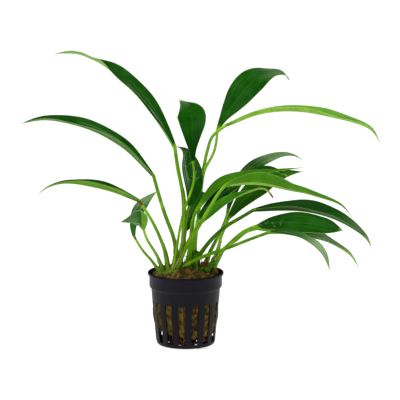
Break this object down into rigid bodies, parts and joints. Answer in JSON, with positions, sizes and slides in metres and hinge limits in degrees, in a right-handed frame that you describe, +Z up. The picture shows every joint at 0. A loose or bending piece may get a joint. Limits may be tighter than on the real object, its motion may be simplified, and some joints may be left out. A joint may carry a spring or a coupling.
{
  "type": "potted anubias",
  "caption": "Aquarium plant with long arching leaves on slim stalks, rooted in a wool plug that fills a slotted tapered net pot with a lip and a flat base.",
  "frame": {"origin": "centre of the net pot's flat base", "axes": "+Z up along the pot's axis, +X towards the longer leaves on the right as seen from -Y, which is the side of the picture"},
  "size_m": [0.2628, 0.1576, 0.2109],
  "materials": {
    "pot_black": "satin moulded plastic",
    "plug_wool": "fibrous, matt",
    "rhizome": "matt, ringed",
    "stalk_green": "satin",
    "leaf_dark": "waxy satin",
    "leaf_light": "waxy satin",
    "root_brown": "matt"
  },
  "bodies": {
    "root": {"net_pot": "pot_black", "stone_wool": "plug_wool", "rhizome_front": "rhizome", "rhizome_middle": "rhizome", "rhizome_right": "rhizome", "stalk_top_left": "stalk_green", "blade_top_left": "leaf_dark", "stalk_mid_left": "stalk_green", "blade_mid_left": "leaf_dark", "stalk_low_left": "stalk_green", "blade_low_left": "leaf_dark", "stalk_back_left": "stalk_green", "blade_back_left": "leaf_dark", "stalk_front_left": "stalk_green", "blade_front_left": "leaf_dark", "stalk_upright_front": "stalk_green", "blade_upright_front": "leaf_dark", "stalk_upright_back": "stalk_green", "blade_upright_back": "leaf_dark", "stalk_short_middle": "stalk_green", "blade_short_middle": "leaf_dark", "stalk_olive_right": "stalk_green", "blade_olive_right": "leaf_light", "stalk_bright_right": "stalk_green", "blade_bright_right": "leaf_light", "stalk_top_right": "stalk_green", "blade_top_right": "leaf_dark", "stalk_long_right": "stalk_green", "blade_long_right": "leaf_light", "stalk_back_right_high": "stalk_green", "blade_back_right_high": "leaf_dark", "stalk_back_right_broad": "stalk_green", "blade_back_right_broad": "leaf_dark", "stalk_brown_tip": "stalk_green", "blade_brown_tip": "leaf_dark", "stalk_back_right_dark": "stalk_green", "blade_back_right_dark": "leaf_dark", "stalk_long_dark_right": "stalk_green", "blade_long_dark_right": "leaf_dark", "stalk_broad_low_right": "stalk_green", "blade_broad_low_right": "leaf_dark", "stalk_drooping_right": "stalk_green", "blade_drooping_right": "leaf_dark", "stalk_low_right": "stalk_green", "blade_low_right": "leaf_dark", "root_front": "root_brown", "root_left": "root_brown", "root_right": "root_brown", "root_back": "root_brown"}
  },
  "joints": []
}
